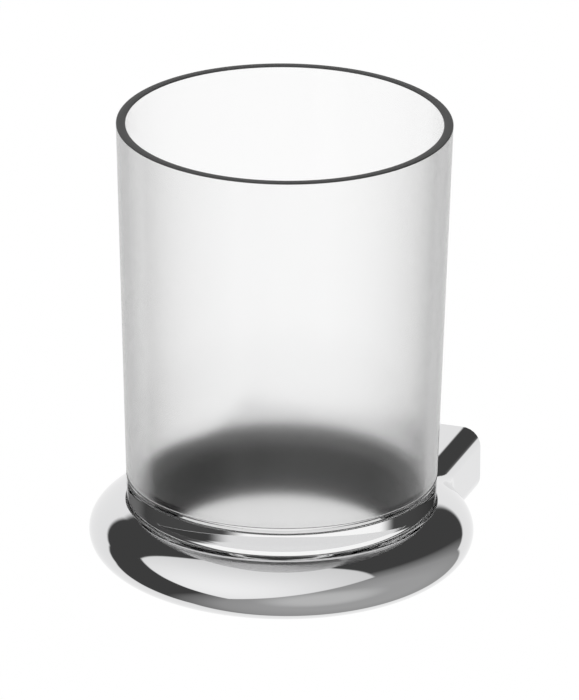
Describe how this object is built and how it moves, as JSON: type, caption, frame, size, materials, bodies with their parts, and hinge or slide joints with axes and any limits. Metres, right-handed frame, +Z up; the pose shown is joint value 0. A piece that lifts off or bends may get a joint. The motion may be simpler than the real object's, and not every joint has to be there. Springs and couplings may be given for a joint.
{
  "type": "wall-mounted tumbler holder",
  "caption": "Frosted tapered glass tumbler with a clear foot, seated in a rounded chrome ring that a short wide arm carries on the wall.",
  "frame": {"origin": "centre of the bracket's face against the wall, at mid-height of the arm", "axes": "+Y into the wall, +Z up, +X to the right for someone who faces the wall; the ring stands out along -Y"},
  "size_m": [0.0828, 0.105, 0.1009],
  "materials": {
    "chrome": "polished chrome plating",
    "frosted_glass": "clear glass, satin frosted outside above the foot",
    "liner": "black soft plastic",
    "bracket_metal": "bare die-cast metal",
    "screw_steel": "stainless steel"
  },
  "bodies": {
    "holder": {"holder_casting": "chrome", "seat_liner": "liner", "wall_bracket": "bracket_metal", "wall_screw_left": "screw_steel", "wall_screw_right": "screw_steel", "lock_screw": "screw_steel"},
    "tumbler": {"tumbler": "frosted_glass"}
  },
  "joints": [
    {"name": "tumbler_lift", "type": "slide", "parent": "holder", "child": "tumbler", "axis": [0, 0, 1], "range_m": [0, 0.04]}
  ]
}
